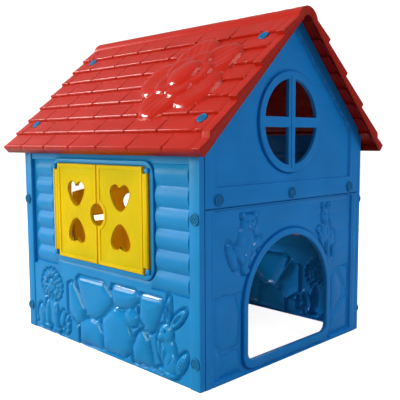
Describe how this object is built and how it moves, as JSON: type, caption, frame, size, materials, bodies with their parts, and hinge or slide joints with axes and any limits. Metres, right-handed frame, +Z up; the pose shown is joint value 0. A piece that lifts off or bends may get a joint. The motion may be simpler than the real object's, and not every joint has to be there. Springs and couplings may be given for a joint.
{
  "type": "plastic playhouse",
  "caption": "Child's garden playhouse of moulded plastic panels with a tiled gable roof, low arched way in, round window, heart-cut shutters and a half door.",
  "frame": {"origin": "middle of the base, on the ground", "axes": "+Z up, the gable wall with the low arched way in faces -Y, the ridge runs along Y, the window walls face -X and +X"},
  "size_m": [0.9, 1, 1.059],
  "materials": {
    "blue_wall": "moulded, semi gloss",
    "red_roof": "moulded, semi gloss",
    "yellow_shutter": "moulded, semi gloss",
    "blue_bolt": "moulded, semi gloss"
  },
  "bodies": {
    "house": {"left_wall": "blue_wall", "right_wall": "blue_wall", "front_wall": "blue_wall", "front_gable": "blue_wall", "rear_wall": "blue_wall", "rear_gable": "blue_wall", "roof_left": "red_roof", "roof_right": "red_roof", "left_wall_bolts": "blue_bolt", "right_wall_bolts": "blue_bolt", "front_rail_bolts": "blue_bolt", "rear_rail_bolts": "blue_bolt", "roof_left_bolts": "blue_bolt", "roof_right_bolts": "blue_bolt", "left_wall_nuts": "blue_bolt", "right_wall_nuts": "blue_bolt", "front_rail_nuts": "blue_bolt", "rear_rail_nuts": "blue_bolt", "roof_left_nuts": "blue_bolt", "roof_right_nuts": "blue_bolt"},
    "left_front_shutter": {"left_front_shutter": "yellow_shutter"},
    "left_rear_shutter": {"left_rear_shutter": "yellow_shutter"},
    "right_front_shutter": {"right_front_shutter": "yellow_shutter"},
    "right_rear_shutter": {"right_rear_shutter": "yellow_shutter"},
    "rear_door": {"rear_door": "yellow_shutter"}
  },
  "joints": [
    {"name": "left_front_shutter_hinge", "type": "hinge", "parent": "house", "child": "left_front_shutter", "pos_m": [-0.4, -0.241, 0.4443], "axis": [0, 0, 1], "range_deg": [0, 175]},
    {"name": "left_rear_shutter_hinge", "type": "hinge", "parent": "house", "child": "left_rear_shutter", "pos_m": [-0.4, 0.241, 0.4443], "axis": [0, 0, -1], "range_deg": [0, 175]},
    {"name": "right_front_shutter_hinge", "type": "hinge", "parent": "house", "child": "right_front_shutter", "pos_m": [0.4, -0.241, 0.4443], "axis": [0, 0, -1], "range_deg": [0, 175]},
    {"name": "right_rear_shutter_hinge", "type": "hinge", "parent": "house", "child": "right_rear_shutter", "pos_m": [0.4, 0.241, 0.4443], "axis": [0, 0, 1], "range_deg": [0, 175]},
    {"name": "rear_door_hinge", "type": "hinge", "parent": "house", "child": "rear_door", "pos_m": [-0.206, 0.444, 0.2435], "axis": [0, 0, 1], "range_deg": [0, 110]}
  ]
}
